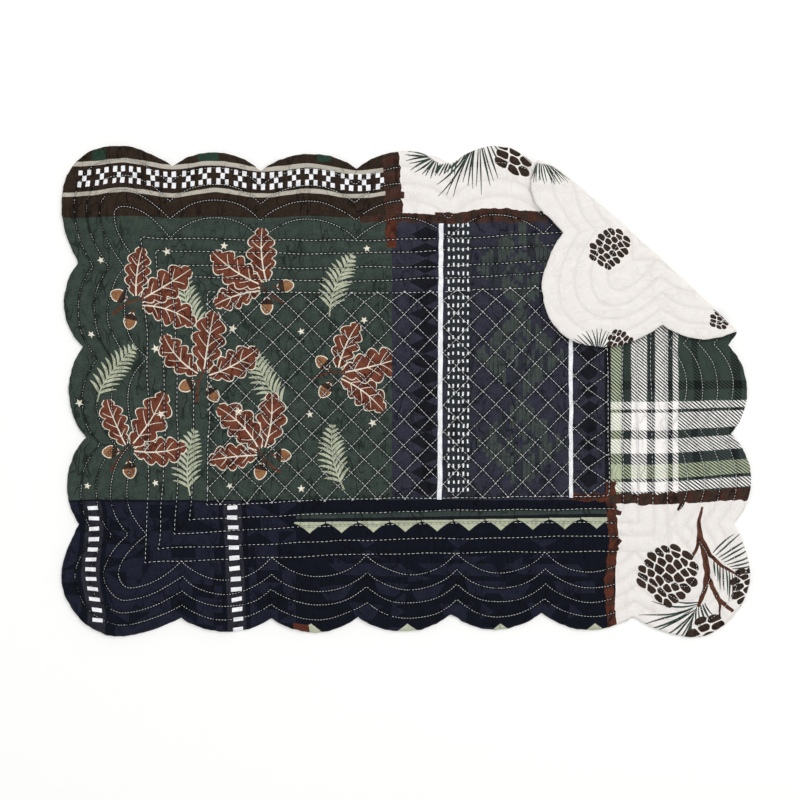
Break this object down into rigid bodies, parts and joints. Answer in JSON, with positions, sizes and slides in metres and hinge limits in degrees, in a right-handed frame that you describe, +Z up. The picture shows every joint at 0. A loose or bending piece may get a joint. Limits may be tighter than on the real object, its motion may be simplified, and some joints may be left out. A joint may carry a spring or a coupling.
{
  "type": "placemat",
  "caption": "Quilted cotton placemat with a scalloped edge, a dark patchwork print on the front and a corner folded over to show its cream printed back.",
  "frame": {"origin": "middle of the box on the surface the mat lies on", "axes": "+Z up from the surface, +X along the long side, +Y towards the long side that has the folded corner at its +X end"},
  "size_m": [0.4834, 0.3444, 0.0079],
  "materials": {
    "front_cotton": "printed cotton, dark green, navy and brown patchwork, quilted",
    "back_cotton": "printed cotton, cream with small dark cones, quilted"
  },
  "bodies": {
    "root": {"quilted_front": "front_cotton", "printed_back": "back_cotton"}
  },
  "joints": []
}
